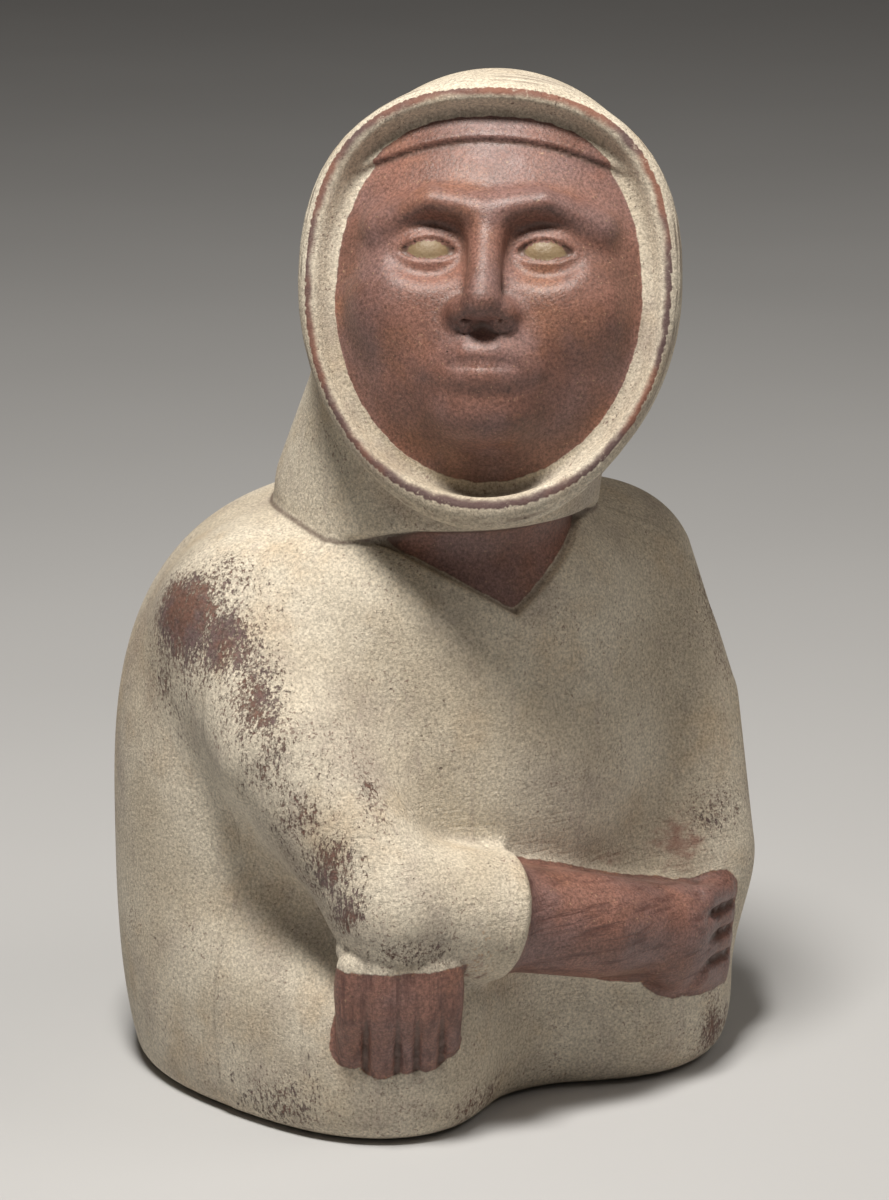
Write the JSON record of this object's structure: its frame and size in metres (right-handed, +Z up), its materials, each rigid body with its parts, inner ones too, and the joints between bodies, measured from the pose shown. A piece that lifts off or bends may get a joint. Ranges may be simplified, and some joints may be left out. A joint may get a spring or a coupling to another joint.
{
  "type": "seated figurine",
  "caption": "Hooded seated figurine of slip-painted fired clay, with crossed arms and a turned, raised head. It stands on its flat underside.",
  "frame": {"origin": "centre of the bounding box in plan, on the underside", "axes": "+Z up, the body faces -Y, +X is the figure's left"},
  "size_m": [0.1672, 0.1562, 0.27],
  "materials": {
    "slip_painted_clay": "matte buff slip on the garment and hood, burnished red-brown slip on face, hands and forearm, worn and speckled"
  },
  "bodies": {
    "root": {"seated_figurine": "slip_painted_clay"}
  },
  "joints": []
}
